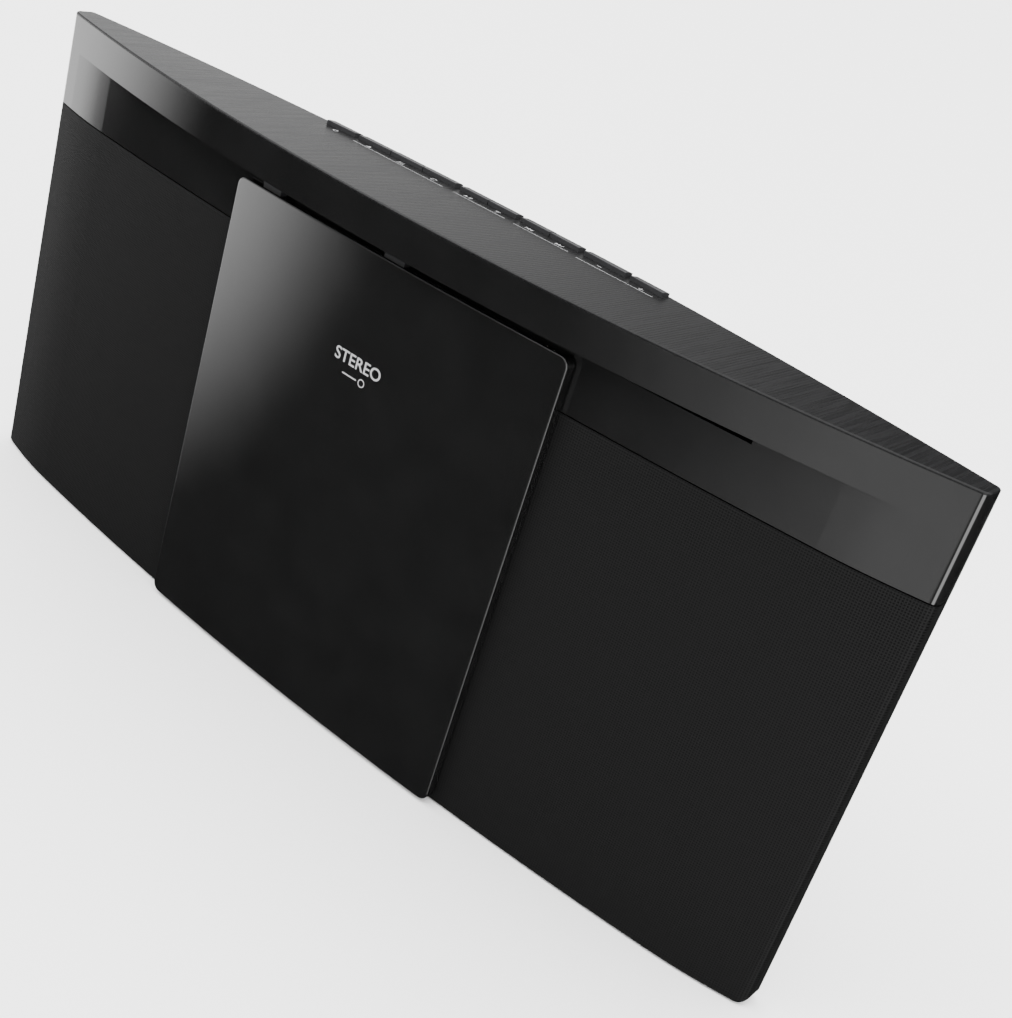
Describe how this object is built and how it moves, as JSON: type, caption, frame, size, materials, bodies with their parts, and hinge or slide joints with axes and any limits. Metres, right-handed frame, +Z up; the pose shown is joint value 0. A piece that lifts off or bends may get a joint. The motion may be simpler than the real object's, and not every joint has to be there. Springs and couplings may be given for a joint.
{
  "type": "mini hifi system",
  "caption": "Slim curved desktop or wall stereo with a sliding front door over an upright disc player, cloth grilles on both sides and a row of top buttons.",
  "frame": {"origin": "centre of the footprint, on the surface that the rubber feet stand on", "axes": "+X to the right of a person facing the front, front faces -Y, +Z up"},
  "size_m": [0.4, 0.0522, 0.1915],
  "materials": {
    "top_plastic": "fine hairline satin",
    "gloss_black": "high gloss",
    "black_plastic": "fine moulded texture",
    "rail_plastic": "smooth acetal",
    "grille_cloth": "fine woven mesh",
    "steel": "zinc plated",
    "bright_steel": "nickel plated",
    "aluminium": "extruded",
    "gear_plastic": "acetal",
    "rubber": "matt",
    "ferrite": "ferrite grey",
    "cone_paper": "pressed paper",
    "circuit_board": "solder mask",
    "switch_plastic": "moulded",
    "display_glass": "smoked",
    "button_plastic": "satin"
  },
  "bodies": {
    "case": {"top_cover": "top_plastic", "front_fascia": "gloss_black", "rear_cover": "black_plastic", "bottom_cover": "black_plastic", "front_chassis": "black_plastic", "cd_bay": "black_plastic", "disc_well_ring": "black_plastic", "disc_well_floor": "black_plastic", "grille_frame_left": "black_plastic", "grille_frame_right": "black_plastic", "ac_inlet": "black_plastic", "aux_socket": "black_plastic", "headphone_socket": "black_plastic", "door_upper_rail": "rail_plastic", "door_lower_rail": "rail_plastic", "grille_cloth_left": "grille_cloth", "grille_cloth_right": "grille_cloth", "cd_deck": "steel", "door_motor": "steel", "spindle_motor": "steel", "sled_motor": "steel", "speaker_basket_left": "steel", "speaker_basket_right": "steel", "guide_rods": "bright_steel", "antenna_socket": "bright_steel", "cover_screws": "bright_steel", "tuner_module": "bright_steel", "heat_sink": "aluminium", "deck_dampers": "rubber", "rubber_feet": "rubber", "speaker_magnet_left": "ferrite", "speaker_magnet_right": "ferrite", "transformer": "ferrite", "speaker_cone_left": "cone_paper", "speaker_cone_right": "cone_paper", "main_board": "circuit_board", "power_board": "circuit_board", "button_board": "circuit_board", "key_switches": "switch_plastic", "display_module": "display_glass", "infrared_receiver": "display_glass"},
    "door": {"cd_door": "gloss_black", "door_carrier": "black_plastic"},
    "door_pinion": {"door_pinion": "gear_plastic"},
    "turntable": {"turntable": "gear_plastic"},
    "laser_sled": {"laser_sled": "rail_plastic"},
    "sled_gear": {"sled_gear": "gear_plastic"},
    "button_power": {"button_power": "button_plastic"},
    "button_open_close": {"button_open_close": "button_plastic"},
    "button_memory": {"button_memory": "button_plastic"},
    "button_play_mode": {"button_play_mode": "button_plastic"},
    "button_disc": {"button_disc": "button_plastic"},
    "button_radio": {"button_radio": "button_plastic"},
    "button_back": {"button_back": "button_plastic"},
    "button_forward": {"button_forward": "button_plastic"},
    "button_volume_down": {"button_volume_down": "button_plastic"},
    "button_volume_up": {"button_volume_up": "button_plastic"}
  },
  "joints": [
    {"name": "door_slide", "type": "hinge", "parent": "case", "child": "door", "pos_m": [0, 1.4333, 0.088], "axis": [0, 0, 1], "range_deg": [0, 5.06]},
    {"name": "door_pinion_spin", "type": "hinge", "parent": "case", "child": "door_pinion", "pos_m": [0.0565, -0.00019, 0.1748], "axis": [0, 0, 1], "range_deg": [0, 915]},
    {"name": "turntable_spin", "type": "hinge", "parent": "case", "child": "turntable", "pos_m": [-0.0085, -0.0112, 0.088], "axis": [0, 1, 0], "continuous": true},
    {"name": "laser_slide", "type": "slide", "parent": "case", "child": "laser_sled", "axis": [1, 0, 0], "range_m": [0, 0.032]},
    {"name": "sled_gear_spin", "type": "hinge", "parent": "case", "child": "sled_gear", "pos_m": [0.04, -0.00375, 0.0605], "axis": [0, 1, 0], "range_deg": [0, 230]},
    {"name": "power_press", "type": "slide", "parent": "case", "child": "button_power", "axis": [0, 0, -1], "range_m": [0, 0.0008], "stiffness_N_per_m": 1200, "springref_m": -0.0003},
    {"name": "open_close_press", "type": "slide", "parent": "case", "child": "button_open_close", "axis": [0, 0, -1], "range_m": [0, 0.0008], "stiffness_N_per_m": 1200, "springref_m": -0.0003},
    {"name": "memory_press", "type": "slide", "parent": "case", "child": "button_memory", "axis": [0, 0, -1], "range_m": [0, 0.0008], "stiffness_N_per_m": 1200, "springref_m": -0.0003},
    {"name": "play_mode_press", "type": "slide", "parent": "case", "child": "button_play_mode", "axis": [0, 0, -1], "range_m": [0, 0.0008], "stiffness_N_per_m": 1200, "springref_m": -0.0003},
    {"name": "disc_press", "type": "slide", "parent": "case", "child": "button_disc", "axis": [0, 0, -1], "range_m": [0, 0.0008], "stiffness_N_per_m": 1200, "springref_m": -0.0003},
    {"name": "radio_press", "type": "slide", "parent": "case", "child": "button_radio", "axis": [0, 0, -1], "range_m": [0, 0.0008], "stiffness_N_per_m": 1200, "springref_m": -0.0003},
    {"name": "back_press", "type": "slide", "parent": "case", "child": "button_back", "axis": [0, 0, -1], "range_m": [0, 0.0008], "stiffness_N_per_m": 1200, "springref_m": -0.0003},
    {"name": "forward_press", "type": "slide", "parent": "case", "child": "button_forward", "axis": [0, 0, -1], "range_m": [0, 0.0008], "stiffness_N_per_m": 1200, "springref_m": -0.0003},
    {"name": "volume_down_press", "type": "slide", "parent": "case", "child": "button_volume_down", "axis": [0, 0, -1], "range_m": [0, 0.0008], "stiffness_N_per_m": 1200, "springref_m": -0.0003},
    {"name": "volume_up_press", "type": "slide", "parent": "case", "child": "button_volume_up", "axis": [0, 0, -1], "range_m": [0, 0.0008], "stiffness_N_per_m": 1200, "springref_m": -0.0003}
  ],
  "couplings": [
    {"joint": "door_pinion_spin", "follows": "door_slide", "ratio": 180.32},
    {"joint": "sled_gear_spin", "follows": "laser_slide", "rad_per_m": 125}
  ]
}
